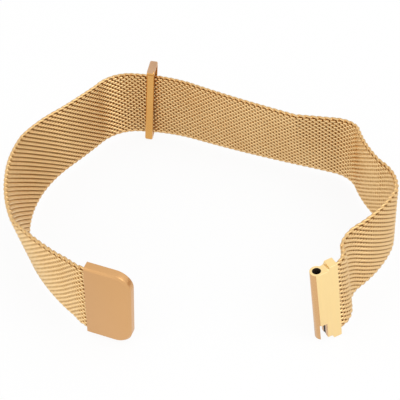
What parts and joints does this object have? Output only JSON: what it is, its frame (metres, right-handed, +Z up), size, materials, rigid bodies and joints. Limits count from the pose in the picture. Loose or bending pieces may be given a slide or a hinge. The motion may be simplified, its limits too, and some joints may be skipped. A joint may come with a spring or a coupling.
{
  "type": "milanese mesh band",
  "caption": "Woven steel watch strap in an open loop with a magnetic clasp plate, a sliding ring and a quick-release lug fitting",
  "frame": {"origin": "middle of the outline in X and Y, and the surface that the strap stands on in Z", "axes": "+Z up along the width of the strap, +X to the right across the open loop with the clasp at the left and the lug fitting at the right, +Y from the open side of the loop towards its back"},
  "size_m": [0.093, 0.0884, 0.0235],
  "materials": {
    "woven_mesh": "satin",
    "polished_plate": "polished",
    "bare_steel": "satin",
    "plated_magnet": "satin",
    "moulded_carrier": "matte"
  },
  "bodies": {
    "clasp_end": {"Mesh_section_01": "woven_mesh", "Clasp_outer_shell": "polished_plate", "Clasp_back_plate": "polished_plate", "Clasp_steel_yoke_plate": "bare_steel", "Clasp_weld_bar": "bare_steel", "Clasp_magnet_1": "plated_magnet", "Clasp_magnet_2": "plated_magnet", "Clasp_magnet_3": "plated_magnet", "Clasp_magnet_4": "plated_magnet", "Clasp_magnet_carrier": "moulded_carrier"},
    "mesh_02": {"Mesh_section_02": "woven_mesh"},
    "mesh_03": {"Mesh_section_03": "woven_mesh"},
    "mesh_04": {"Mesh_section_04": "woven_mesh"},
    "mesh_05": {"Mesh_section_05": "woven_mesh"},
    "mesh_06": {"Mesh_section_06": "woven_mesh"},
    "mesh_07": {"Mesh_section_07": "woven_mesh"},
    "mesh_08": {"Mesh_section_08": "woven_mesh"},
    "mesh_09": {"Mesh_section_09": "woven_mesh"},
    "mesh_10": {"Mesh_section_10": "woven_mesh"},
    "mesh_11": {"Mesh_section_11": "woven_mesh"},
    "mesh_12": {"Mesh_section_12": "woven_mesh"},
    "mesh_13": {"Mesh_section_13": "woven_mesh"},
    "mesh_14": {"Mesh_section_14": "woven_mesh"},
    "mesh_15": {"Mesh_section_15": "woven_mesh"},
    "mesh_16": {"Mesh_section_16": "woven_mesh"},
    "lug_end": {"Mesh_section_17": "woven_mesh", "Lug_fitting": "polished_plate", "Lug_weld_bar": "bare_steel"},
    "ring": {"Ring": "polished_plate"}
  },
  "joints": [
    {"name": "mesh_flex_01", "type": "hinge", "parent": "mesh_02", "child": "clasp_end", "pos_m": [-0.0322, -0.02857, 0.01169], "axis": [0.0231, -0.0909, 0.9956], "range_deg": [-17, 35]},
    {"name": "mesh_flex_02", "type": "hinge", "parent": "mesh_03", "child": "mesh_02", "pos_m": [-0.04172, -0.01479, 0.01129], "axis": [-0.1288, -0.0951, 0.9871], "range_deg": [-27, 24]},
    {"name": "mesh_flex_03", "type": "hinge", "parent": "mesh_04", "child": "mesh_03", "pos_m": [-0.045, 0.0016, 0.01129], "axis": [-0.087, -0.0046, 0.9962], "range_deg": [-33, 14]},
    {"name": "mesh_flex_04", "type": "hinge", "parent": "mesh_05", "child": "mesh_04", "pos_m": [-0.04245, 0.0166, 0.01129], "axis": [-0.0651, 0.025, 0.9976], "range_deg": [-34, 8]},
    {"name": "mesh_flex_05", "type": "hinge", "parent": "mesh_06", "child": "mesh_05", "pos_m": [-0.03395, 0.02772, 0.01129], "axis": [0.0376, -0.0364, 0.9986], "range_deg": [-20, 4]},
    {"name": "mesh_flex_06", "type": "hinge", "parent": "mesh_07", "child": "mesh_06", "pos_m": [-0.02496, 0.03718, 0.01129], "axis": [0.0668, -0.056, 0.9962], "range_deg": [-40, 2]},
    {"name": "mesh_flex_07", "type": "hinge", "parent": "mesh_08", "child": "mesh_07", "pos_m": [-0.01489, 0.04102, 0.01129], "axis": [-0.0079, -0.034, 0.9994], "range_deg": [-52, 2]},
    {"name": "mesh_flex_08", "type": "hinge", "parent": "mesh_09", "child": "mesh_08", "pos_m": [0.00121, 0.03364, 0.01129], "axis": [-0.039, -0.0578, 0.9976], "range_deg": [-19, 2]},
    {"name": "mesh_flex_09", "type": "hinge", "parent": "mesh_10", "child": "mesh_09", "pos_m": [0.01428, 0.02427, 0.01129], "axis": [-0.0806, -0.1341, 0.9877], "range_deg": [-10, 2]},
    {"name": "mesh_flex_10", "type": "hinge", "parent": "mesh_11", "child": "mesh_10", "pos_m": [0.02774, 0.01545, 0.01129], "axis": [-0.1173, -0.2116, 0.9703], "range_deg": [-10, 2]},
    {"name": "mesh_flex_11", "type": "hinge", "parent": "mesh_12", "child": "mesh_11", "pos_m": [0.03593, 0.01177, 0.01129], "axis": [-0.0806, -0.1341, 0.9877], "range_deg": [-39, 3]},
    {"name": "mesh_flex_12", "type": "hinge", "parent": "mesh_13", "child": "mesh_12", "pos_m": [0.04109, 0.00573, 0.01129], "axis": [-0.0174, -0.0012, 0.9998], "range_deg": [-27, 5]},
    {"name": "mesh_flex_13", "type": "hinge", "parent": "mesh_14", "child": "mesh_13", "pos_m": [0.04412, -0.00803, 0.01129], "axis": [-0.0632, -0.0295, 0.9976], "range_deg": [-28, 8]},
    {"name": "mesh_flex_14", "type": "hinge", "parent": "mesh_15", "child": "mesh_14", "pos_m": [0.04445, -0.01943, 0.01129], "axis": [0.0299, -0.018, 0.9994], "range_deg": [-49, 16]},
    {"name": "mesh_flex_15", "type": "hinge", "parent": "mesh_16", "child": "mesh_15", "pos_m": [0.03484, -0.02959, 0.01129], "axis": [0, 0, 1], "range_deg": [-10, 28]},
    {"name": "mesh_flex_16", "type": "hinge", "parent": "lug_end", "child": "mesh_16", "pos_m": [0.03072, -0.03559, 0.01129], "axis": [-0.1045, 0.0018, 0.9945], "range_deg": [-15, 35]},
    {"name": "ring_slide", "type": "slide", "parent": "mesh_08", "child": "ring", "axis": [0.927, -0.3751, 0], "range_m": [-0.001, 0.002]}
  ]
}
